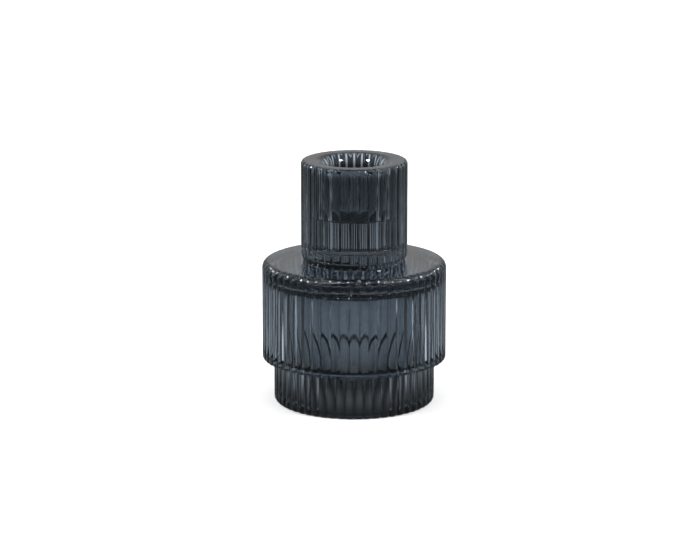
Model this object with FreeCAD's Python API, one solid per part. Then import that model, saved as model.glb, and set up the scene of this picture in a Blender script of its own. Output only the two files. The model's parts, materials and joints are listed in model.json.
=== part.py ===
import FreeCAD, Part
import math
import os

# Glass candlestick for one taper candle, in millimetres.
#
# Three round tiers of ribbed pressed glass stand on one axis: a foot ring, a wide hollow
# drum with a closed flat shoulder, and a narrow candle cup. Each tier is pressed by itself.
# The cup's flat base is bonded to the drum's shoulder. The foot ring has a low spigot that
# centres the drum's hollow on it, and it is bonded there and on the ledge round the spigot.
# Each joint is a thin clear film of cured adhesive.
#
# +Z is up. The origin is the centre of the circle that the foot stands on. One rib crest
# of every tier lies on the +X axis.

# ---- Driving dimensions ----------------------------------------------------------------

# Outer sizes: a diameter is measured over the rib crests.
cup_diameter = 43.3
cup_height = 41.2
drum_diameter = 75.0
drum_height = 40.5
foot_diameter = 65.5
foot_height = 17.9              # up to the ledge that carries the drum

# Ribs: rounded reeds side by side, each one arc in cross-section.
cup_rib_count = 36
drum_rib_count = 60
foot_rib_count = 54
rib_flank_angle = 50.0          # degrees, at the valley between two ribs

# Candle bore in the cup.
bore_diameter = 23.5            # takes a taper candle of 22 to 23 mm
bore_depth = 23.3               # from the lip down to the bore's floor
mouth_rounding = 4.7            # flare from the lip's flat ring into the bore
bore_floor_rounding = 0.6

# Edges of the cup.
lip_rounding = 1.5              # outer edge of the lip
rib_tip_rounding = 1.0          # lower ends of the cup's ribs
waist_height = 1.7              # plain band under the rib ends
base_bevel = 0.3                # round the ground face at the cup's base

# Drum: glass left round its hollow, and its edges.
drum_wall = 6.4                 # from a rib crest to the hollow
drum_ceiling = 7.5              # shoulder plate over the hollow
hollow_rounding = 3.8           # between the hollow's wall and its ceiling
shoulder_rounding = 3.0
drum_bottom_rounding = 0.8

# Foot ring.
foot_edge_rounding = 2.1        # outer edge that meets the table
foot_inner_rounding = 1.0       # inner edge that meets the table
spigot_height = 1.4             # stands up inside the drum's hollow
spigot_wall = 4.4               # from the spigot's outside to the ring's inside
least_ledge = 1.0               # the ledge round the spigot is at least this wide
spigot_rounding = 1.0           # inner edge of the spigot's top

# Adhesive films.
bond_thickness = 0.2
bond_margin = 0.2               # the film stops this far short of each open edge

# ---- Heights and radii worked out from them ----------------------------------------------

drum_bottom = foot_height + bond_thickness
shoulder = drum_bottom + drum_height
cup_bottom = shoulder + bond_thickness
cup_top = cup_bottom + cup_height
hollow_ceiling = shoulder - drum_ceiling
bore_floor = cup_top - bore_depth
spigot_top = foot_height + spigot_height

cup_radius = cup_diameter / 2
drum_radius = drum_diameter / 2
foot_radius = foot_diameter / 2
bore_radius = bore_diameter / 2


def valley_radius(crest_radius, count):
    """Radius at the valleys of a ring of count ribs whose flanks meet at the flank angle."""
    half_pitch = math.pi / count
    rise = math.tan(math.radians(rib_flank_angle) / 2)
    return crest_radius / (math.cos(half_pitch) + math.sin(half_pitch) * rise)


# The drum's wall sets the spigot, unless that would leave the drum too little ledge to stand on.
spigot_radius = min(drum_radius - drum_wall - bond_thickness,
                    valley_radius(foot_radius, foot_rib_count) - least_ledge)
hollow_radius = spigot_radius + bond_thickness
foot_inner_radius = spigot_radius - spigot_wall

UP = FreeCAD.Vector(0, 0, 1)
CENTRE = FreeCAD.Vector(0, 0, 0)


def point(radius, height):
    """A point of a profile, in the XZ plane."""
    return FreeCAD.Vector(radius, 0, height)


def ribbed_bar(crest_radius, count, bottom, top):
    """A straight bar whose outline is count equal arcs, one for each rib."""
    pitch = 2 * math.pi / count
    valley = valley_radius(crest_radius, count)

    def outline_point(radius, angle):
        return FreeCAD.Vector(radius * math.cos(angle), radius * math.sin(angle), bottom)

    arcs = []
    for rib in range(count):
        middle = rib * pitch
        start = outline_point(valley, middle - pitch / 2)
        crest = outline_point(crest_radius, middle)
        end = outline_point(valley, middle + pitch / 2)
        arcs.append(Part.Arc(start, crest, end).toShape())
    outline = Part.Face(Part.Wire(arcs))
    return outline.extrude(UP * (top - bottom))


def rounded_corner(centre_radius, centre_height, rounding, start_degrees, end_degrees):
    """An arc of a profile about its centre, from one direction to another."""
    middle_degrees = (start_degrees + end_degrees) / 2
    points = []
    for degrees in (start_degrees, middle_degrees, end_degrees):
        angle = math.radians(degrees)
        across = rounding * math.cos(angle)
        up = rounding * math.sin(angle)
        points.append(point(centre_radius + across, centre_height + up))
    return Part.Arc(*points).toShape()


def revolve(pieces):
    """Turn a closed profile once round the axis. Straight edges fill the gaps between arcs.

    pieces holds points and arcs in order round the profile.
    """
    edges = []
    ends = []
    for piece in pieces:
        if isinstance(piece, FreeCAD.Vector):
            ends.append((piece, piece))
        else:
            ends.append((piece.valueAt(piece.FirstParameter), piece.valueAt(piece.LastParameter)))
    for index, piece in enumerate(pieces):
        if not isinstance(piece, FreeCAD.Vector):
            edges.append(piece)
        here = ends[index][1]
        following = ends[(index + 1) % len(pieces)][0]
        if here.distanceToPoint(following) > 1e-6:
            edges.append(Part.makeLine(here, following))
    profile = Part.Face(Part.Wire(edges))
    return profile.revolve(CENTRE, UP, 360)


def flat_disc(radius, bottom, top):
    return Part.makeCylinder(radius, top - bottom, FreeCAD.Vector(0, 0, bottom))


def make_candle_cup():
    """The narrow tier: a solid ribbed block with the candle bore in its top."""
    waist = valley_radius(cup_radius, cup_rib_count)
    rib_depth = cup_radius - waist
    tip_angle = math.degrees(math.acos(1 - rib_depth / rib_tip_rounding))
    tip_height = rib_tip_rounding * math.sin(math.radians(tip_angle))
    tip_centre = cup_bottom + waist_height + tip_height
    mouth_centre = bore_radius + mouth_rounding
    floor_centre = bore_radius - bore_floor_rounding
    envelope = revolve([
        point(0, cup_bottom),
        point(waist - base_bevel, cup_bottom),
        point(waist, cup_bottom + base_bevel),
        rounded_corner(cup_radius - rib_tip_rounding, tip_centre, rib_tip_rounding, -tip_angle, 0),
        rounded_corner(cup_radius - lip_rounding, cup_top - lip_rounding, lip_rounding, 0, 90),
        rounded_corner(mouth_centre, cup_top - mouth_rounding, mouth_rounding, 90, 180),
        rounded_corner(floor_centre, bore_floor + bore_floor_rounding, bore_floor_rounding, 0, -90),
        point(0, bore_floor),
    ])
    return envelope.common(ribbed_bar(cup_radius, cup_rib_count, cup_bottom, cup_top))


def make_drum():
    """The wide tier: a ribbed bell, closed by the smooth shoulder plate, open below."""
    envelope = revolve([
        point(hollow_radius, drum_bottom),
        rounded_corner(drum_radius - drum_bottom_rounding, drum_bottom + drum_bottom_rounding,
                       drum_bottom_rounding, -90, 0),
        rounded_corner(drum_radius - shoulder_rounding, shoulder - shoulder_rounding,
                       shoulder_rounding, 0, 90),
        point(0, shoulder),
        point(0, hollow_ceiling),
        rounded_corner(hollow_radius - hollow_rounding, hollow_ceiling - hollow_rounding,
                       hollow_rounding, 90, 0),
    ])
    return envelope.common(ribbed_bar(drum_radius, drum_rib_count, drum_bottom, shoulder))


def make_foot():
    """The ribbed ring that the candlestick stands on, with its plain spigot on top."""
    envelope = revolve([
        rounded_corner(foot_inner_radius + foot_inner_rounding, foot_inner_rounding,
                       foot_inner_rounding, 180, 270),
        rounded_corner(foot_radius - foot_edge_rounding, foot_edge_rounding,
                       foot_edge_rounding, -90, 0),
        point(foot_radius, foot_height),
        point(spigot_radius, foot_height),
        point(spigot_radius, spigot_top),
        rounded_corner(foot_inner_radius + spigot_rounding, spigot_top - spigot_rounding,
                       spigot_rounding, 90, 180),
    ])
    return envelope.common(ribbed_bar(foot_radius, foot_rib_count, 0, spigot_top))


def make_cup_bond():
    """The clear film under the candle cup."""
    ground_face = valley_radius(cup_radius, cup_rib_count) - base_bevel
    return flat_disc(ground_face - bond_margin, shoulder, cup_bottom)


def make_foot_bond():
    """The clear film on the foot's ledge and up round its spigot."""
    ledge_edge = min(valley_radius(foot_radius, foot_rib_count),
                     drum_radius - drum_bottom_rounding) - bond_margin
    sleeve_top = spigot_top - bond_margin
    return revolve([
        point(spigot_radius, foot_height),
        point(ledge_edge, foot_height),
        point(ledge_edge, drum_bottom),
        point(hollow_radius, drum_bottom),
        point(hollow_radius, sleeve_top),
        point(spigot_radius, sleeve_top),
    ])


subparts = {
    "candle_cup": make_candle_cup(),
    "cup_bond": make_cup_bond(),
    "drum": make_drum(),
    "foot_bond": make_foot_bond(),
    "foot": make_foot(),
}

os.makedirs("parts", exist_ok=True)
for node, shape in subparts.items():
    volume = round(shape.Volume / 1000, 2)
    print(node, "solids", len(shape.Solids), "valid", shape.isValid(), "volume in cm3", volume)
    shape.exportStep("parts/" + node + ".step")
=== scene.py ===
# %% [markdown]
# # A ribbed smoked-glass candlestick
#
# The real object is three tiers of pressed glass that stand on one axis: a foot ring, a wide
# hollow drum, and a narrow cup for the candle. Clear adhesive joins them. This lesson models the
# three tiers, gives them one glass material, and lights them as in a studio.
#
# Glass hides nothing. Light goes through the front of a tier, its inside and its back, and so the
# inner surfaces are modelled with the same care as the outer ones.
#
# The first lines load the measured model as a fixed frame. All sizes below fit round it.

# %% Load the frame
import math
import bpy
import numpy as np
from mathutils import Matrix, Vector
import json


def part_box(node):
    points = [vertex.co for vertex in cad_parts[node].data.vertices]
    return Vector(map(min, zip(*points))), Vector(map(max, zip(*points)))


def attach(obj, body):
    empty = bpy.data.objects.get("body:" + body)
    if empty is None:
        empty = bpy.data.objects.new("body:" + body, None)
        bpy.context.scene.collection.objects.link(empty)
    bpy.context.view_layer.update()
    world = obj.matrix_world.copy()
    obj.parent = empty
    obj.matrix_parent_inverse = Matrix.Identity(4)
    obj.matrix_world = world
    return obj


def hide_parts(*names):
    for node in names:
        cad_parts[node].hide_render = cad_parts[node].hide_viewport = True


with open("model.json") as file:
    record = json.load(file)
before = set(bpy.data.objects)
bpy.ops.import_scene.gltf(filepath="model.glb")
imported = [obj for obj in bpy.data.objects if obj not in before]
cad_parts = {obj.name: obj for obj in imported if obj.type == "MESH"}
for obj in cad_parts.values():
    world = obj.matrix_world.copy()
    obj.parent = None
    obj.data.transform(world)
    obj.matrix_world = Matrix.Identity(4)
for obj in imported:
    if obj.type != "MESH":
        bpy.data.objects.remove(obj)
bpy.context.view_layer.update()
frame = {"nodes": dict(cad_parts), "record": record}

print("nodes:", sorted(frame["nodes"]))

# %% [markdown]
# ## Millimetres
#
# Blender counts in metres, and a glassmaker thinks in millimetres. One constant turns the one
# into the other. The sizes that other pieces depend on are read from the frame, so that the glass
# still fits if the measured model changes, and the rest are written once, with names.

# %% Sizes that the frame gives
MM = 0.001
SNAP = 0.002 * MM               # a vertex this near a drawn corner is that corner
WELD = 0.001 * MM               # vertices this near each other are one


def node_size(node):
    """Bottom, top and outer radius of a node, in metres."""
    low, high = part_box(node)
    return low[2], high[2], high[0]


cup_bottom, cup_top, cup_radius = node_size("candle_cup")
drum_bottom, shoulder, drum_radius = node_size("drum")
foot_bottom, spigot_top, foot_radius = node_size("foot")
pad_radius = node_size("cup_bond")[2]
ledge, sleeve_top, ledge_edge = node_size("foot_bond")
bore_mount = next(m for m in frame["record"]["mounts"] if m["name"] == "candle_bore")
bore_radius = bore_mount["dims"]["r_mm"] * MM
print("height in mm:", round(cup_top / MM, 2), " drum radius in mm:", round(drum_radius / MM, 2))

# %% Sizes of the glass that the boxes don't tell
bore_depth = 23.3 * MM
bore_floor = cup_top - bore_depth
hollow_ceiling = shoulder - 7.5 * MM
spigot_radius = 30.9 * MM
hollow_radius = spigot_radius + (drum_bottom - ledge)
foot_inner_radius = 26.5 * MM
waist_height = 1.7 * MM
waist_radius = pad_radius + 0.5 * MM
pad_recess = 0.02 * MM          # keeps a bonded face just clear of its film of adhesive
print("glass between bore and base in mm:", round((bore_floor - cup_bottom) / MM, 2))
print("wall of the drum in mm:", round((drum_radius - hollow_radius) / MM, 2))

# %% [markdown]
# ## The section of a tier
#
# A tier is a turned shape before its ribs are pressed into it, as clay is on a wheel. It could
# start from a cylinder with insets, but then each change of radius is a new operation. Here one
# vertex is extruded from corner to corner of the half section, which reads like a drawing, and
# single corners are rounded with a vertex bevel.
#
# Fire-polishing, a short reheating in a flame, has rounded every edge of the real glass. The
# roundings matter more than they seem to: each one catches a line of light.

# %% Helpers that draw a half section
def deselect_everything():
    """Leave edit mode and select nothing."""
    if bpy.context.object and bpy.context.object.mode != "OBJECT":
        bpy.ops.object.mode_set(mode="OBJECT")
    bpy.ops.object.select_all(action="DESELECT")


def select_vertices(piece, test):
    """Select the vertices whose place passes the test, and leave edit mode on."""
    bpy.ops.object.mode_set(mode="EDIT")
    bpy.ops.mesh.select_mode(type="VERT")
    bpy.ops.mesh.select_all(action="DESELECT")
    bpy.ops.object.mode_set(mode="OBJECT")
    for vertex in piece.data.vertices:
        vertex.select = test(vertex.co)
    bpy.ops.object.mode_set(mode="EDIT")


def draw_section(name, corners, closed=False):
    """Extrude a single vertex along corners, each a (radius, height) pair in metres."""
    deselect_everything()
    start = Vector((corners[0][0], 0, corners[0][1]))
    bpy.ops.mesh.primitive_plane_add(size=MM, location=start)
    piece = bpy.context.object
    piece.name = name
    piece.data.name = name
    bpy.ops.object.transform_apply(location=True)
    bpy.ops.object.mode_set(mode="EDIT")
    bpy.ops.mesh.select_mode(type="VERT")
    bpy.ops.mesh.merge(type="CENTER")
    here = start
    for radius, height in corners[1:]:
        there = Vector((radius, 0, height))
        bpy.ops.mesh.extrude_region_move(TRANSFORM_OT_translate={"value": there - here})
        here = there
    if closed:
        ends = (start, here)
        select_vertices(piece, lambda co: any((co - end).length < WELD for end in ends))
        bpy.ops.mesh.edge_face_add()
    bpy.ops.object.mode_set(mode="OBJECT")
    return piece


def round_corner(piece, radius, height, rounding, segments):
    """Bevel the right-angled corner at a place of the section."""
    corner = Vector((radius, 0, height))
    select_vertices(piece, lambda co: (co - corner).length < SNAP)
    bpy.ops.mesh.bevel(offset=rounding, segments=segments, affect="VERTICES", clamp_overlap=False)
    bpy.ops.object.mode_set(mode="OBJECT")


def cut_run(piece, start, end, cuts):
    """Cut the straight run of the section between two places into cuts + 1 rows."""
    ends = (Vector((start[0], 0, start[1])), Vector((end[0], 0, end[1])))
    select_vertices(piece, lambda co: any((co - place).length < SNAP for place in ends))
    bpy.ops.mesh.subdivide(number_cuts=cuts)
    bpy.ops.object.mode_set(mode="OBJECT")


print("section helpers ready: draw, round a corner, cut a run")

# %% [markdown]
# ## From a section to a ring of reeds
#
# The mould's ribs are reeds: convex and side by side, each one arc in plan, with a narrow valley
# between. They could be cut with booleans, but that leaves long thin faces, and glass shows every
# one of them as a streak. Here the section is spun through one rib only, that wedge is pressed to
# the reed's outline, and the pressed wedge is repeated round the axis.
#
# Each reed works as a lens. How steep it is at the valley decides how far it spreads what is
# behind it: the drum's reeds are steep and draw the hollow's rim as a zigzag, and the cup's are
# flatter and leave the candle's bore in one piece. Where a tier has a rounded edge, the valleys
# bend in with it, so each reed ends in a small crescent.

# %% Helpers that spin, press and repeat
COLUMNS = 20                    # columns of faces across one reed
POLISH = 0.12 * MM              # width over which fire-polishing blends two surfaces
VALLEY_POLISH = 0.10 * MM
FOLLOW = 0.75                   # how far a reed's valley follows a rounded edge of the tier


def soft_min(a, b, width):
    """The smaller of a and b, rounded where they are less than width apart."""
    overlap = np.maximum(width - np.abs(a - b), 0) / width
    return np.minimum(a, b) - overlap ** 2 * width / 4


def reed_outline(angle, crest_radius, count, flank):
    """Radius of the reeded outline at an angle from a crest; flank is its slope at the valleys."""
    pitch = 2 * math.pi / count
    half = pitch / 2
    rise = math.tan(math.radians(flank) / 2)
    valley = crest_radius / (math.cos(half) + math.sin(half) * rise)
    centre = (crest_radius ** 2 - valley ** 2) / (2 * (crest_radius - valley * math.cos(half)))
    arc = crest_radius - centre
    beside = np.abs((angle / pitch + 0.5) % 1.0 - 0.5) * pitch

    def arc_radius(off):
        return centre * np.cos(off) + np.sqrt(np.maximum(arc ** 2 - (centre * np.sin(off)) ** 2, 0))

    return -soft_min(-arc_radius(beside), -arc_radius(pitch - beside), VALLEY_POLISH)


def vertex_array(piece):
    """Places of all vertices, one row each."""
    flat = np.empty(len(piece.data.vertices) * 3)
    piece.data.vertices.foreach_get("co", flat)
    return flat.reshape(-1, 3)


def store_vertices(piece, places):
    piece.data.vertices.foreach_set("co", places.ravel())
    piece.data.update()


def spin_wedge(piece, count):
    """Spin the section through one rib pitch."""
    bpy.ops.object.mode_set(mode="EDIT")
    bpy.ops.mesh.select_all(action="SELECT")
    bpy.ops.mesh.spin(steps=COLUMNS, angle=2 * math.pi / count, center=(0, 0, 0), axis=(0, 0, 1))
    bpy.ops.mesh.select_all(action="SELECT")
    bpy.ops.mesh.remove_doubles(threshold=WELD)
    bpy.ops.object.mode_set(mode="OBJECT")


def press_reeds(piece, crest_radius, count, flank):
    """Move each vertex in to the reeded outline, which bends in with the tier's rounded edges."""
    places = vertex_array(piece)
    radius = np.hypot(places[:, 0], places[:, 1])
    angle = np.arctan2(places[:, 1], places[:, 0])
    drop = np.maximum(crest_radius + POLISH - radius, 0)
    outline = reed_outline(angle, crest_radius, count, flank) - FOLLOW * drop
    pressed = soft_min(radius, outline, POLISH)
    share = np.where(radius > 0, pressed / np.maximum(radius, 1e-9), 1)
    places[:, 0] *= share
    places[:, 1] *= share
    store_vertices(piece, places)


def repeat_round(piece, count):
    """Copy the wedge round the axis and weld the copies."""
    bpy.ops.object.mode_set(mode="EDIT")
    bpy.ops.mesh.select_all(action="SELECT")
    bpy.ops.mesh.spin(steps=count - 1, dupli=True, angle=2 * math.pi * (count - 1) / count,
                      center=(0, 0, 0), axis=(0, 0, 1))
    bpy.ops.mesh.select_all(action="SELECT")
    bpy.ops.mesh.remove_doubles(threshold=WELD)
    bpy.ops.mesh.normals_make_consistent(inside=False)
    bpy.ops.object.mode_set(mode="OBJECT")


def make_tier(piece, crest_radius, count, flank):
    """Turn a section into a reeded tier, and count its open edges."""
    spin_wedge(piece, count)
    press_reeds(piece, crest_radius, count, flank)
    repeat_round(piece, count)
    bpy.ops.object.mode_set(mode="EDIT")
    bpy.ops.mesh.select_mode(type="EDGE")
    bpy.ops.mesh.select_all(action="DESELECT")
    bpy.ops.mesh.select_non_manifold()
    bpy.ops.object.mode_set(mode="OBJECT")
    open_edges = sum(edge.select for edge in piece.data.edges)
    triangles = sum(len(face.vertices) - 2 for face in piece.data.polygons)
    print(piece.name, "triangles", triangles, "open edges", open_edges)


depth_of_two_millimetre_pitch = math.tan(math.radians(50) / 2) * 2 / 4
print("a 2 mm reed with 50 degree flanks is", round(depth_of_two_millimetre_pitch, 2), "mm deep")


# %% [markdown]
# ## Where glass meets adhesive
#
# Cured adhesive bends light as glass does, so a bonded face can't be seen: light goes straight on
# through it. Two materials on one piece would do this, but light loses its way where the inside
# of a piece changes material. A face attribute marks those faces instead, and the one glass
# material reads it. The same helper marks the candle's seat.

# %% Mark faces
def mark_faces(piece, mark, test):
    """Give a face the mark if test is true for the radius, angle and height of its middle."""
    attribute = piece.data.attributes.new(mark, "FLOAT", "FACE")
    marked = 0
    for face in piece.data.polygons:
        x, y, z = face.center
        chosen = test(math.hypot(x, y), math.degrees(math.atan2(y, x)), z)
        attribute.data[face.index].value = 1.0 if chosen else 0.0
        marked += chosen
    print(piece.name, "faces", mark, marked)


# %% [markdown]
# ## Pressing marks
#
# A plunger and a mould leave slow waves in pressed glass, a few hundredths of a millimetre deep.
# They are far too shallow to see as shape, but the glass bends light by them, and that breaks up
# lines which would be too straight. A bump map would change the shine only, so the waves are real
# moves of the mesh. They are sums of sines, and come out the same on each run.

# %% Waves
# How often each wave goes round the axis, and its radians per metre of height.
WAVES = ((5, 190), (11, -310), (17, 540), (29, -450), (41, 800))


def waves(angle, height, seed):
    """Slow waves between about -1 and 1 over a turned surface."""
    total = np.zeros_like(angle)
    for turn, (around, along) in enumerate(WAVES):
        total += np.sin(around * angle + along * height + seed * (turn + 1.7))
    return total / 3


def add_waves(piece, radii, heights, depth, seed, upwards=False):
    """Wave the vertices between two radii and two heights, outwards or, if upwards, along the axis."""
    places = vertex_array(piece)
    radius = np.hypot(places[:, 0], places[:, 1])
    angle = np.arctan2(places[:, 1], places[:, 0])
    height = places[:, 2]
    chosen = (radius > radii[0]) & (radius < radii[1]) & (height > heights[0]) & (height < heights[1])
    shift = waves(angle, radius if upwards else height, seed) * depth * chosen
    if upwards:
        places[:, 2] += shift
    else:
        places[:, 0] += shift * np.cos(angle)
        places[:, 1] += shift * np.sin(angle)
    store_vertices(piece, places)
    print(piece.name, "vertices waved", int(chosen.sum()))


OUTER_WAVE = 0.025 * MM
BORE_WAVE = 0.03 * MM
HOLLOW_WAVE = 0.04 * MM
CALM = 1 * MM                   # waves keep clear of edges by this, or by a multiple of it
WAVE_ROOM = 1.7 * OUTER_WAVE    # the highest wave, which the reeds leave room for
print("wave at angle 0 and height 50 mm:", round(float(waves(np.zeros(1), 50 * MM, 9.0)[0]), 2))

# %% [markdown]
# ## The candle cup
#
# The cup is a block of glass with the candle's bore pressed into its top by a plunger. The bore
# flares at the mouth so that the plunger comes out and a candle goes in. Below the bore the glass
# is solid, and the ribs end above a plain waist, where the cup stands on the drum.
#
# The section runs up the outside, over the lip and down the bore, in one line from axis to axis.
# The long walls are cut into short rows, because waves and ribs can only bend what has vertices.

# %% Section of the cup
cup_blank = cup_radius + POLISH
lip_rounding = 1.5 * MM + POLISH
tip_rounding = 1.6 * MM         # the reeds end in round tips
rib_tips = cup_bottom + waist_height
base_bevel = 0.3 * MM
mouth_rounding = 4.7 * MM
bore_floor_rounding = 0.6 * MM

cup = draw_section("candle_cup_glass", [
    (0, cup_bottom + pad_recess),
    (pad_radius, cup_bottom + pad_recess),
    (pad_radius + pad_recess, cup_bottom),
    (waist_radius - base_bevel, cup_bottom),
    (waist_radius, cup_bottom + base_bevel),
    (waist_radius, rib_tips),
    (cup_blank, rib_tips),
    (cup_blank, cup_top),
    (bore_radius, cup_top),
    (bore_radius, bore_floor),
    (0, bore_floor),
])
cut_run(cup, (0, cup_bottom + pad_recess), (pad_radius, cup_bottom + pad_recess), cuts=11)
round_corner(cup, cup_blank, rib_tips, tip_rounding, segments=6)
round_corner(cup, cup_blank, cup_top, lip_rounding, segments=9)
round_corner(cup, bore_radius, cup_top, mouth_rounding, segments=10)
round_corner(cup, bore_radius, bore_floor, bore_floor_rounding, segments=4)
cut_run(cup, (cup_blank, rib_tips + tip_rounding), (cup_blank, cup_top - lip_rounding), cuts=11)
cut_run(cup, (bore_radius, cup_top - mouth_rounding),
        (bore_radius, bore_floor + bore_floor_rounding), cuts=9)
cut_run(cup, (bore_radius - bore_floor_rounding, bore_floor), (0, bore_floor), cuts=5)

print("cup section vertices:", len(cup.data.vertices))

# %% Spin and press the cup
CUP_RIBS = 36
CUP_FLANK = 41                  # degrees
make_tier(cup, cup_radius - WAVE_ROOM, CUP_RIBS, CUP_FLANK)

# %% [markdown]
# ## Under the cup
#
# The adhesive was dropped beside the middle and pressed out by the cup's weight, and it didn't
# reach all of the base. A sector at the front left stayed dry, from near the middle to the rim. A
# thin film of air is left there, and air behind glass at a low angle is a perfect mirror. From
# the front left this pocket shows as a dark line round the waist.

# %% Mark the cup's bonded face and its seat
POCKET_FROM = 145               # degrees round the axis
POCKET_TO = 285
POCKET_INNER = 1 * MM           # where the dry sector starts, near the middle
POCKET_RAGGED = 0.5 * MM        # how far that start wanders
SEAT_DEPTH = 0.5 * MM


def in_air_pocket(radius, degrees):
    """Is this part of the cup's base dry? The dry sector's inner edge wanders with two sines."""
    wander = 1.2 * math.sin(math.radians(5 * degrees)) + 0.8 * math.sin(math.radians(11 * degrees) + 1)
    beyond_edge = radius > POCKET_INNER + wander * POCKET_RAGGED
    return POCKET_FROM < degrees % 360 < POCKET_TO and beyond_edge


def is_wet_base(radius, degrees, z):
    """Is this on the cup's base, where the adhesive wets it?"""
    on_base = radius < pad_radius and z < cup_bottom + 2 * pad_recess
    return on_base and not in_air_pocket(radius, degrees)


def is_seat(radius, degrees, z):
    """Is this on the bore's floor, where the candle stands?"""
    return radius < bore_radius and abs(z - bore_floor) < SEAT_DEPTH


mark_faces(cup, "bonded", is_wet_base)
mark_faces(cup, "seat", is_seat)

# %% Wave the cup
cup_wall = (bore_radius + cup_radius) / 2
add_waves(cup, (cup_wall, cup_radius), (rib_tips + CALM, cup_top - 2 * CALM), OUTER_WAVE, 9.0)
add_waves(cup, (0, bore_radius + CALM), (bore_floor + CALM, cup_top - 4 * CALM), BORE_WAVE, 2.0)

# %% [markdown]
# ## The drum
#
# The drum is a bell: thick glass round a hollow that is open below, because the plunger has to
# come out. Its top is a smooth flat shoulder that carries the cup. The bottom is a ring-shaped
# ledge that stands on the foot, and a shallow sleeve inside it fits round the foot's spigot.
#
# The hollow's corner at the ceiling is rounded less than the shoulder, and shows through the wall
# as one thin dark line.

# %% Section of the drum
drum_blank = drum_radius + POLISH
shoulder_rounding = 3.0 * MM + POLISH
drum_edge_rounding = 0.8 * MM + POLISH
hollow_rounding = 2.0 * MM

drum = draw_section("drum_glass", [
    (0, hollow_ceiling),
    (hollow_radius, hollow_ceiling),
    (hollow_radius, sleeve_top + pad_recess),
    (hollow_radius + pad_recess, sleeve_top),
    (hollow_radius + pad_recess, drum_bottom + pad_recess),
    (ledge_edge, drum_bottom + pad_recess),
    (ledge_edge + pad_recess, drum_bottom),
    (drum_blank, drum_bottom),
    (drum_blank, shoulder),
    (pad_radius + pad_recess, shoulder),
    (pad_radius, shoulder - pad_recess),
    (0, shoulder - pad_recess),
])
round_corner(drum, hollow_radius, hollow_ceiling, hollow_rounding, segments=8)
round_corner(drum, drum_blank, drum_bottom, drum_edge_rounding, segments=6)
round_corner(drum, drum_blank, shoulder, shoulder_rounding, segments=11)
cut_run(drum, (0, hollow_ceiling), (hollow_radius - hollow_rounding, hollow_ceiling), cuts=6)
cut_run(drum, (hollow_radius, hollow_ceiling - hollow_rounding),
        (hollow_radius, sleeve_top + pad_recess), cuts=8)
cut_run(drum, (drum_blank, drum_bottom + drum_edge_rounding),
        (drum_blank, shoulder - shoulder_rounding), cuts=11)
cut_run(drum, (drum_blank - shoulder_rounding, shoulder), (pad_radius + pad_recess, shoulder), cuts=5)

print("drum section vertices:", len(drum.data.vertices))

# %% Spin and press the drum
DRUM_RIBS = 60
DRUM_FLANK = 56                 # degrees
make_tier(drum, drum_radius - WAVE_ROOM, DRUM_RIBS, DRUM_FLANK)

# %% Mark the drum's bonded faces
def is_drum_joint(radius, degrees, z):
    """Is this where the drum meets the film under the cup or the film on the foot?"""
    under_cup = radius < pad_radius and z > shoulder - 2 * pad_recess
    on_foot = radius < ledge_edge and z < sleeve_top
    return under_cup or on_foot


mark_faces(drum, "bonded", is_drum_joint)

# %% Wave the drum
drum_wall = (hollow_radius + drum_radius) / 2
add_waves(drum, (drum_wall, drum_radius), (drum_bottom + CALM, shoulder - 2 * CALM), OUTER_WAVE, 4.0)
add_waves(drum, (hollow_radius - CALM, hollow_radius + CALM),
          (sleeve_top + CALM, hollow_ceiling - hollow_rounding), HOLLOW_WAVE, 5.0)
add_waves(drum, (-CALM, hollow_radius - hollow_rounding),
          (hollow_ceiling - CALM, hollow_ceiling + CALM), HOLLOW_WAVE, 3.0, upwards=True)

# %% [markdown]
# ## The foot
#
# The foot is a ribbed ring that lifts the drum off the table. A plain spigot on its top centres
# the drum while the adhesive cures. Its section doesn't reach the axis, so it is closed into a
# loop, and the spin makes a ring of it.

# %% Section of the foot
foot_blank = foot_radius + POLISH
foot_edge_rounding = 2.1 * MM + POLISH
ledge_rounding = 0.35 * MM
foot_inner_rounding = 1.0 * MM

foot = draw_section("foot_glass", [
    (foot_inner_radius, foot_bottom),
    (foot_blank, foot_bottom),
    (foot_blank, ledge),
    (ledge_edge + pad_recess, ledge),
    (ledge_edge, ledge - pad_recess),
    (spigot_radius - pad_recess, ledge - pad_recess),
    (spigot_radius - pad_recess, sleeve_top),
    (spigot_radius, sleeve_top + pad_recess),
    (spigot_radius, spigot_top),
    (foot_inner_radius, spigot_top),
], closed=True)
round_corner(foot, foot_blank, foot_bottom, foot_edge_rounding, segments=8)
round_corner(foot, foot_blank, ledge, ledge_rounding, segments=3)
round_corner(foot, foot_inner_radius, spigot_top, foot_inner_rounding, segments=5)
round_corner(foot, foot_inner_radius, foot_bottom, foot_inner_rounding, segments=5)
cut_run(foot, (foot_blank, foot_bottom + foot_edge_rounding),
        (foot_blank, ledge - ledge_rounding), cuts=7)
cut_run(foot, (foot_inner_radius, foot_bottom + foot_inner_rounding),
        (foot_inner_radius, spigot_top - foot_inner_rounding), cuts=7)

print("foot section vertices:", len(foot.data.vertices))

# %% Spin and press the foot
FOOT_RIBS = 54
FOOT_FLANK = 64                 # degrees
make_tier(foot, foot_radius - WAVE_ROOM, FOOT_RIBS, FOOT_FLANK)

# %% Mark the foot's bonded faces
def is_foot_joint(radius, degrees, z):
    """Is this where the foot meets its film, on the ledge or round the spigot?"""
    on_ledge = ledge - 2 * pad_recess < z < sleeve_top
    return on_ledge and spigot_radius - 2 * pad_recess < radius < ledge_edge


mark_faces(foot, "bonded", is_foot_joint)

# %% Wave the foot
foot_wall = (foot_inner_radius + foot_radius) / 2
add_waves(foot, (foot_wall, foot_radius), (1.5 * CALM, ledge - 0.5 * CALM), OUTER_WAVE, 6.0)
add_waves(foot, (0, foot_inner_radius + 0.5 * CALM), (1.5 * CALM, spigot_top - 1.5 * CALM),
          BORE_WAVE, 8.0)

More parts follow.
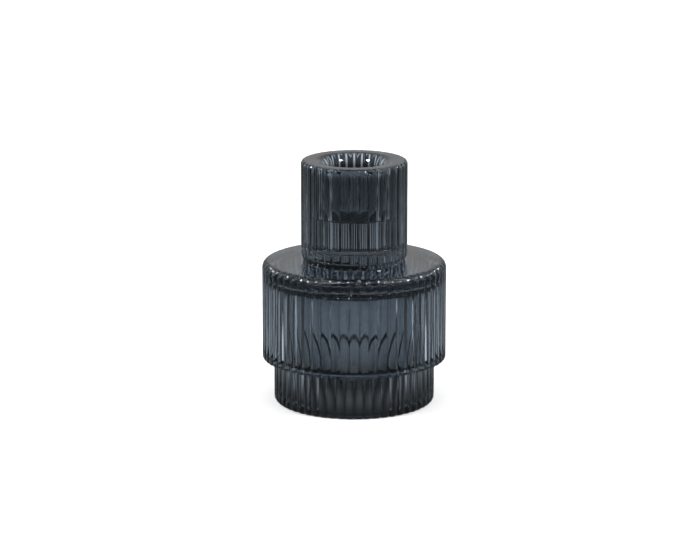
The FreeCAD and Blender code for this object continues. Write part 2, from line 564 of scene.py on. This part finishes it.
# %% [markdown]
# ## Smooth shading
#
# Glass shows each flat face as a facet, so all faces are shaded smooth, except across the sharp
# edges at the joints. The angle lies between the steepest turn inside a rounding and a true edge.

# %% Smooth shading
SHARP_ANGLE = 38                # degrees
for piece in (cup, drum, foot):
    deselect_everything()
    piece.select_set(True)
    bpy.context.view_layer.objects.active = piece
    bpy.ops.object.shade_smooth_by_angle(angle=math.radians(SHARP_ANGLE))
    print(piece.name, "faces", len(piece.data.polygons), "shaded smooth below", SHARP_ANGLE, "degrees")

# %% [markdown]
# ## Materials
#
# Colours are written as sRGB hex values, as on a colour picker, and one function turns them to
# the linear light that the renderer adds and multiplies. A second small function adds a node with
# its settings and its links, so a material reads as a list of nodes.

# %% Colour and node helpers
def linear(hex_colour):
    """Linear RGBA of an sRGB hex colour."""
    channels = []
    for place in (1, 3, 5):
        value = int(hex_colour[place:place + 2], 16) / 255
        channels.append(value / 12.92 if value <= 0.04045 else ((value + 0.055) / 1.055) ** 2.4)
    return (*channels, 1.0)


def new_material(name):
    """An empty node material and its node tree."""
    material = bpy.data.materials.new(name)
    material.use_nodes = True
    material.node_tree.nodes.clear()
    return material, material.node_tree


def add_node(tree, kind, settings=None, links=None):
    """Add a node, give it its settings, and link its inputs.

    A number, or a name that is one of the node's inputs, is an input. Any other name is a
    property of the node.
    """
    node = tree.nodes.new(kind)
    inputs = {}
    for key, value in (settings or {}).items():
        if isinstance(key, int) or key in node.inputs:
            inputs[key] = value
        else:
            setattr(node, key, value)
    for key, value in inputs.items():
        node.inputs[key].default_value = value
    for key, source in (links or {}).items():
        tree.links.new(source, node.inputs[key])
    return node


print("mid grey #808080 in linear light:", round(linear("#808080")[0], 3))

# %% [markdown]
# ## Smoked soda-lime glass, pressed and fire-polished
#
# Soda-lime is the glass of bottles and tableware. A pinch of metal oxide smokes it blue-grey. Its
# IOR is 1.52, and fire-polishing leaves it almost perfectly glossy.
#
# The smoke could be colour in the surface only, and then thick and thin glass look the same. Or
# it could be absorption only, and then the solid cup turns black before the thin drum is grey
# enough. The real tiers differ little, so the tint is shared: most of it where light crosses the
# surface, and some of it in the depth of the glass.
#
# - Ream, the slow unevenness of pressed glass, is a bump a few millimetres wide.
# - The skin is a finer orange peel, and its low places are slightly less glossy.
# - The foot's lowest millimetre is scuffed by tables. The real scratches are finer than can be
#   seen here, so they are drawn as coarse as they need to be to show.
# - The candle's seat, the bore's floor, is matte. It is painted dark brown-grey in patches, as shade at
#   the bottom of the bore.

# %% Smoked glass
SURFACE_TINT = "#B3BCC4"
GLASS_TINT = "#AAB4BC"
GLASS_DENSITY = 20.0
# painted shade: the dark colour of the bore's floor, where the bottom of the bore lies in shade
SEAT_PAINTED_SHADE_TINT = "#4E4A48"
SEAT_ROUGHNESS = 0.45
REAM_SCALE = 160.0              # lumps per metre, as the other scales here
REAM_DEPTH = 0.3 * MM
SKIN_SCALE = 700.0
SKIN_DEPTH = 0.1 * MM
SCUFF_HEIGHT = 1.0 * MM
SCRATCH_SCALE = 2500.0
SEAT_SHADE_SCALE = 250.0
SODA_LIME_IOR = 1.52


def make_smoked_glass():
    """The one glass of all three tiers."""
    material, tree = new_material("smoked_soda_lime_glass_pressed")
    place = add_node(tree, "ShaderNodeTexCoord").outputs["Object"]
    ream = add_node(tree, "ShaderNodeTexNoise", {"Scale": REAM_SCALE, "Detail": 2.0},
                    {"Vector": place})
    skin = add_node(tree, "ShaderNodeTexNoise", {"Scale": SKIN_SCALE, "Detail": 3.0},
                    {"Vector": place})
    ripple = add_node(tree, "ShaderNodeBump", {"Strength": 0.05, "Distance": REAM_DEPTH},
                      {"Height": ream.outputs["Fac"]})
    peel = add_node(tree, "ShaderNodeBump", {"Strength": 0.03, "Distance": SKIN_DEPTH},
                    {"Height": skin.outputs["Fac"], "Normal": ripple.outputs["Normal"]})

    gloss = add_node(tree, "ShaderNodeMapRange",
                     {"From Min": 0.35, "From Max": 0.75, "To Min": 0.0, "To Max": 0.02},
                     {"Value": skin.outputs["Fac"]})
    height = add_node(tree, "ShaderNodeSeparateXYZ", None, {"Vector": place}).outputs["Z"]
    near_table = add_node(tree, "ShaderNodeMapRange",
                          {"From Min": 0.0, "From Max": SCUFF_HEIGHT, "To Min": 0.5, "To Max": 0.0},
                          {"Value": height})
    scratches = add_node(tree, "ShaderNodeTexNoise", {"Scale": SCRATCH_SCALE, "Detail": 2.0},
                         {"Vector": place})
    scuff = add_node(tree, "ShaderNodeMath", {"operation": "MULTIPLY"},
                     {0: near_table.outputs["Result"], 1: scratches.outputs["Fac"]})
    worn = add_node(tree, "ShaderNodeMath", {"operation": "ADD"},
                    {0: gloss.outputs["Result"], 1: scuff.outputs[0]})
    seat = add_node(tree, "ShaderNodeAttribute", {"attribute_name": "seat"}).outputs["Fac"]
    roughness = add_node(tree, "ShaderNodeMix", {"data_type": "FLOAT", 3: SEAT_ROUGHNESS},
                         {0: seat, 2: worn.outputs[0]})

    # Painted shade: patches of the bore's floor are tinted dark, as shade at the bottom of the bore.
    seat_shade_noise = add_node(tree, "ShaderNodeTexNoise", {"Scale": SEAT_SHADE_SCALE, "Detail": 3.0},
                      {"Vector": place})
    patches = add_node(tree, "ShaderNodeMapRange",
                       {"From Min": 0.3, "From Max": 0.6, "To Min": 0.5, "To Max": 1.0},
                       {"Value": seat_shade_noise.outputs["Fac"]})
    seat_painted_shade = add_node(tree, "ShaderNodeMath", {"operation": "MULTIPLY"},
                       {0: seat, 1: patches.outputs["Result"]})
    tint = add_node(tree, "ShaderNodeMix",
                    {"data_type": "RGBA", 6: linear(SURFACE_TINT), 7: linear(SEAT_PAINTED_SHADE_TINT)},
                    {0: seat_painted_shade.outputs[0]})

    glass = add_node(tree, "ShaderNodeBsdfPrincipled", {"Transmission Weight": 1.0, "IOR": SODA_LIME_IOR},
                     {"Base Color": tint.outputs[2], "Roughness": roughness.outputs[0],
                      "Normal": peel.outputs["Normal"]})
    straight_on = add_node(tree, "ShaderNodeBsdfTransparent")
    bonded = add_node(tree, "ShaderNodeAttribute", {"attribute_name": "bonded"})
    surface = add_node(tree, "ShaderNodeMixShader", None,
                       {0: bonded.outputs["Fac"], 1: glass.outputs[0], 2: straight_on.outputs[0]})
    smoke = add_node(tree, "ShaderNodeVolumeAbsorption",
                     {"Color": linear(GLASS_TINT), "Density": GLASS_DENSITY})
    add_node(tree, "ShaderNodeOutputMaterial", None,
             {"Surface": surface.outputs[0], "Volume": smoke.outputs[0]})
    return material


print("surface tint", SURFACE_TINT, " depth tint", GLASS_TINT, "at", GLASS_DENSITY, "per metre")

# %% [markdown]
# ## Clear acrylic adhesive
#
# Glass is joined with an acrylic that cures in ultraviolet light. Inside the joint it can't be
# told from glass, so its faces let light straight on. Only its open rim, a bead as thin as a
# hair, has a surface of its own. The distance from the axis tells the bead from the rest.

# %% Adhesive
BEAD_SCALE = 1500.0             # lumps per metre
BEAD_DEPTH = 0.05 * MM
BEAD_ROUGHNESS = 0.08
ACRYLIC_IOR = 1.49
ACRYLIC_TINT = "#E9EEF0"


def make_clear_adhesive(name, rim_radius):
    """Index-matched inside the joint, and a glossy bead at the joint's open rim."""
    material, tree = new_material(name)
    place = add_node(tree, "ShaderNodeTexCoord").outputs["Object"]
    flat = add_node(tree, "ShaderNodeVectorMath", {"operation": "MULTIPLY", 1: (1, 1, 0)}, {0: place})
    reach = add_node(tree, "ShaderNodeVectorMath", {"operation": "LENGTH"}, {0: flat.outputs[0]})
    at_rim = add_node(tree, "ShaderNodeMath", {"operation": "GREATER_THAN", 1: rim_radius - BEAD_DEPTH},
                      {0: reach.outputs["Value"]})
    skin = add_node(tree, "ShaderNodeTexNoise", {"Scale": BEAD_SCALE, "Detail": 2.0},
                    {"Vector": place})
    bump = add_node(tree, "ShaderNodeBump", {"Strength": 0.2, "Distance": BEAD_DEPTH},
                    {"Height": skin.outputs["Fac"]})
    bead = add_node(tree, "ShaderNodeBsdfPrincipled",
                    {"Base Color": linear(ACRYLIC_TINT), "Transmission Weight": 1.0, "IOR": ACRYLIC_IOR,
                     "Roughness": BEAD_ROUGHNESS}, {"Normal": bump.outputs["Normal"]})
    straight_on = add_node(tree, "ShaderNodeBsdfTransparent")
    surface = add_node(tree, "ShaderNodeMixShader", None,
                       {0: at_rim.outputs[0], 1: straight_on.outputs[0], 2: bead.outputs[0]})
    add_node(tree, "ShaderNodeOutputMaterial", None, {"Surface": surface.outputs[0]})
    return material


print("adhesive films in mm:", round((drum_bottom - ledge) / MM, 2), "and",
      round((cup_bottom - shoulder) / MM, 2))

# %% [markdown]
# ## Put the pieces in the frame
#
# Each tier rides on the frame's one body and stands for the measured piece of its name. The two
# films of adhesive are simple enough to keep as they were measured, with the material above.

# %% Put the materials on
smoked_glass = make_smoked_glass()
for piece, node in ((cup, "candle_cup"), (drum, "drum"), (foot, "foot")):
    piece.data.materials.clear()
    piece.data.materials.append(smoked_glass)
    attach(piece, "root")
    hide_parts(node)

film_rims = {"cup_bond": pad_radius, "foot_bond": ledge_edge}
for node, rim in film_rims.items():
    film = bpy.data.objects[node]
    adhesive = make_clear_adhesive("clear_acrylic_adhesive_" + node, rim)
    if not film.material_slots:
        film.data.materials.append(adhesive)
    for slot in film.material_slots:
        slot.material = adhesive
    print(node, "wears", adhesive.name)

# %% [markdown]
# ## The studio floor
#
# Dark glass goes pale if everything round it is white, because it shows little of itself and much
# of its surroundings. In a studio the floor is pale paper, and the light on it is kept off the
# places that the glass shows. Here the Light Path node does what flags and black card do there:
# the camera sees plain pale paper, and light that was bent through the glass sees a brightness
# that is worked out from the distance and the angle round the object.
#
# There are no real lamps for it. It only looks like the light of a ring of lamps: it fades with
# distance as it does under a lamp, it is dark in the object's own shade, and it rises and falls
# twelve times round the object. Each reed sweeps its view across one or two of these bright
# places, and that draws the fine upright lines in the glass. The floor is the same all round.

# %% Floor
FLOOR_WIDTH = 6.0
FLOOR_DROP = 0.02 * MM          # keeps the paper just under the foot
FLOOR_PAPER = "#EFEFEF"
LAMP_LIGHT = 1.12
LAMP_HEIGHT = 0.28              # metres, as are the radii below
LAMP_FALLOFF = -1.5
LAMP_COLOUR = "#F3F7FB"
SHADE_START = 0.03
SHADE_END = 0.12
SHADE_LIGHT = 0.027
CENTRE_LIGHT = 0.10
CENTRE_RADIUS = 0.026
LAMPS_AROUND = 12
LAMP_EDGE = 0.0
LAMP_LOW = 0.13
LAMP_HIGH = 1.65

bpy.ops.mesh.primitive_plane_add(size=FLOOR_WIDTH, location=(0, 0, -FLOOR_DROP))
floor = bpy.context.object
floor.name = "studio_floor"
bpy.ops.object.transform_apply(location=True)
floor_material, tree = new_material("studio_floor_paper")
paper = add_node(tree, "ShaderNodeBsdfDiffuse", {"Color": linear(FLOOR_PAPER)})
place = add_node(tree, "ShaderNodeTexCoord").outputs["Object"]
reach = add_node(tree, "ShaderNodeVectorMath", {"operation": "LENGTH"}, {0: place}).outputs["Value"]
slope = add_node(tree, "ShaderNodeMath", {"operation": "DIVIDE", 1: LAMP_HEIGHT}, {0: reach})
square = add_node(tree, "ShaderNodeMath", {"operation": "MULTIPLY_ADD", 2: 1.0},
                  {0: slope.outputs[0], 1: slope.outputs[0]})
falloff = add_node(tree, "ShaderNodeMath", {"operation": "POWER", 1: LAMP_FALLOFF}, {0: square.outputs[0]})
rise = add_node(tree, "ShaderNodeMapRange",
                {"interpolation_type": "SMOOTHSTEP", "From Min": SHADE_START, "From Max": SHADE_END},
                {"Value": reach})
pool = add_node(tree, "ShaderNodeMath", {"operation": "MULTIPLY"},
                {0: rise.outputs["Result"], 1: falloff.outputs[0]})
centre = add_node(tree, "ShaderNodeMapRange",
                  {"interpolation_type": "SMOOTHSTEP", "From Min": 0.0, "From Max": CENTRE_RADIUS,
                   "To Min": SHADE_LIGHT + CENTRE_LIGHT, "To Max": SHADE_LIGHT}, {"Value": reach})
glow = add_node(tree, "ShaderNodeMath", {"operation": "MULTIPLY_ADD", 1: LAMP_LIGHT},
                {0: pool.outputs[0], 2: centre.outputs["Result"]})
axes = add_node(tree, "ShaderNodeSeparateXYZ", None, {"Vector": place})
turn = add_node(tree, "ShaderNodeMath", {"operation": "ARCTAN2"},
                {0: axes.outputs["X"], 1: axes.outputs["Y"]})
swing = add_node(tree, "ShaderNodeMath", {"operation": "MULTIPLY", 1: LAMPS_AROUND},
                 {0: turn.outputs[0]})
wave = add_node(tree, "ShaderNodeMath", {"operation": "COSINE"}, {0: swing.outputs[0]})
lobe = add_node(tree, "ShaderNodeMapRange",
                {"interpolation_type": "SMOOTHSTEP", "From Min": LAMP_EDGE, "From Max": 1.0,
                 "To Min": LAMP_LOW, "To Max": LAMP_HIGH}, {"Value": wave.outputs[0]})
share = add_node(tree, "ShaderNodeMix", {"data_type": "FLOAT", 2: 1.0},
                 {0: rise.outputs["Result"], 3: lobe.outputs["Result"]})
strength = add_node(tree, "ShaderNodeMath", {"operation": "MULTIPLY"},
                    {0: glow.outputs[0], 1: share.outputs[0]})
seen_through = add_node(tree, "ShaderNodeEmission", {"Color": linear(LAMP_COLOUR)},
                        {"Strength": strength.outputs[0]})
path = add_node(tree, "ShaderNodeLightPath")
floor_surface = add_node(tree, "ShaderNodeMixShader", None,
                         {0: path.outputs["Is Transmission Ray"], 1: paper.outputs[0],
                          2: seen_through.outputs[0]})
add_node(tree, "ShaderNodeOutputMaterial", None, {"Surface": floor_surface.outputs[0]})
floor.data.materials.append(floor_material)
floor.visible_glossy = False
print("floor seen through glass:", LAMPS_AROUND, "bright places round the object, and",
      round(SHADE_LIGHT + CENTRE_LIGHT, 3), "at the middle")

# %% [markdown]
# ## Backdrop
#
# The backdrop is the world itself, in three parts. The camera sees white, and the floor's paper
# is lit by the same white, so its shadows stay soft. Mirror images in the glass see a wall that is
# lit behind the object and dark in front of it, which gives the shoulder and the lip their sheen
# and keeps the front of the reeds dark. Light bent through the glass sees a dim room that is
# darker further up.
#
# The wall stays in its place when the camera goes round, so the mirror images differ from side to
# side.

# %% Backdrop
THROUGH_UP = 0.015
THROUGH_LEVEL = 0.15
THROUGH_RISE = 0.2              # how far up the room is fully dim, as the sine of the angle
MIRROR_LOW = 0.24
MIRROR_HIGH = 0.5
MIRROR_FRONT = 0.05
MIRROR_FROM = -0.1              # the wall brightens between these two heights
MIRROR_TO = 0.25
MIRROR_SIDE = 0.8               # how far round to the back the wall is fully lit
world = bpy.data.worlds.new("studio")
bpy.context.scene.world = world
world.use_nodes = True
tree = world.node_tree
tree.nodes.clear()
direction = add_node(tree, "ShaderNodeTexCoord").outputs["Generated"]
axes = add_node(tree, "ShaderNodeSeparateXYZ", None, {"Vector": direction})
through = add_node(tree, "ShaderNodeMapRange",
                   {"interpolation_type": "SMOOTHSTEP", "From Min": 0.0, "From Max": THROUGH_RISE,
                    "To Min": THROUGH_LEVEL, "To Max": THROUGH_UP}, {"Value": axes.outputs["Z"]})
behind = add_node(tree, "ShaderNodeMapRange",
                  {"interpolation_type": "SMOOTHSTEP", "From Min": MIRROR_FROM, "From Max": MIRROR_TO,
                   "To Min": MIRROR_LOW, "To Max": MIRROR_HIGH}, {"Value": axes.outputs["Z"]})
backness = add_node(tree, "ShaderNodeMapRange",
                    {"interpolation_type": "SMOOTHSTEP", "From Min": 0.0, "From Max": MIRROR_SIDE},
                    {"Value": axes.outputs["Y"]})
mirror = add_node(tree, "ShaderNodeMix", {"data_type": "FLOAT", 2: MIRROR_FRONT},
                  {0: backness.outputs["Result"], 3: behind.outputs["Result"]})
path = add_node(tree, "ShaderNodeLightPath")
not_seen = add_node(tree, "ShaderNodeMix", {"data_type": "FLOAT"},
                    {0: path.outputs["Is Transmission Ray"], 2: mirror.outputs[0],
                     3: through.outputs["Result"]})
open_view = add_node(tree, "ShaderNodeMath", {"operation": "MAXIMUM"},
                     {0: path.outputs["Is Camera Ray"], 1: path.outputs["Is Diffuse Ray"]})
light = add_node(tree, "ShaderNodeMix", {"data_type": "FLOAT", 3: 1.0},
                 {0: open_view.outputs[0], 2: not_seen.outputs[0]})
background = add_node(tree, "ShaderNodeBackground", {"Color": linear("#FFFFFF")},
                      {"Strength": light.outputs[0]})
add_node(tree, "ShaderNodeOutputWorld", None, {"Surface": background.outputs[0]})

print("backdrop light: behind", MIRROR_LOW, "to", MIRROR_HIGH, " in front", MIRROR_FRONT)

# %% [markdown]
# ## Softboxes
#
# Two small softboxes hang above the table, to the left and right in front of the object, and are
# the only lights. They make the bright crescents on the reed tips, the lip and the mouth of the
# bore. Small boxes give crisp crescents, and large ones would draw them out to bands.

# %% Lights
def add_softbox(name, place, size, watts):
    """A square lamp at a place in metres, turned to the middle of the object."""
    lamp = bpy.data.lights.new(name, "AREA")
    lamp.energy = watts
    lamp.size = size
    box = bpy.data.objects.new(name, lamp)
    bpy.context.scene.collection.objects.link(box)
    box.location = place
    box.rotation_mode = "QUATERNION"
    box.rotation_quaternion = (MIDDLE - Vector(place)).to_track_quat("-Z", "Y")
    return box


MIDDLE = Vector((0, 0, 0.05))
BOX_WATTS = 14.0
BOX_SIZE = 0.25
BOX_SIDE = 0.9
BOX_FRONT = 0.5
BOX_HEIGHT = 0.9
add_softbox("softbox_left", (-BOX_SIDE, -BOX_FRONT, BOX_HEIGHT), BOX_SIZE, BOX_WATTS)
add_softbox("softbox_right", (BOX_SIDE, -BOX_FRONT, BOX_HEIGHT), BOX_SIZE, BOX_WATTS)

print("softboxes:", BOX_WATTS, "W each,", BOX_SIZE, "m wide")

# %% [markdown]
# ## Camera
#
# The camera looks slightly down on the object, from far enough away that upright edges stay
# nearly parallel. The lens is worked out from the width that the picture covers at the object.

# %% Camera
CAMERA_DISTANCE = 1.3035
CAMERA_ELEVATION = math.radians(13.65)
SENSOR_WIDTH = 36               # millimetres, as the lens
SEEN_WIDTH = 285.131 * MM       # what the picture covers at the object
target = Vector((-1.71 * MM, 0, 50.02 * MM))
camera_data = bpy.data.cameras.new("camera")
camera = bpy.data.objects.new("camera", camera_data)
bpy.context.scene.collection.objects.link(camera)
bpy.context.scene.camera = camera
camera.location = target + Vector((0, -CAMERA_DISTANCE * math.cos(CAMERA_ELEVATION),
                                   CAMERA_DISTANCE * math.sin(CAMERA_ELEVATION)))
camera.rotation_mode = "QUATERNION"
camera.rotation_quaternion = (target - camera.location).to_track_quat("-Z", "Y")
camera_data.sensor_width = SENSOR_WIDTH
camera_data.lens = SENSOR_WIDTH * CAMERA_DISTANCE / SEEN_WIDTH
camera_data.clip_end = 50

print("lens in mm:", round(camera_data.lens, 1))

# %% [markdown]
# ## View transform and light paths
#
# The standard view transform keeps white paper white. A ray crosses up to a dozen surfaces in
# this object, and one that runs out of bounces comes back black, so the limits are raised.

# %% View transform and light paths
scene = bpy.context.scene
scene.view_settings.view_transform = "Standard"
scene.cycles.max_bounces = 24
scene.cycles.transmission_bounces = 24
scene.cycles.glossy_bounces = 12
scene.cycles.transparent_max_bounces = 32
print("bounces through glass:", scene.cycles.transmission_bounces)

# %% [markdown]
# ## Finish

# %% Finish
import json
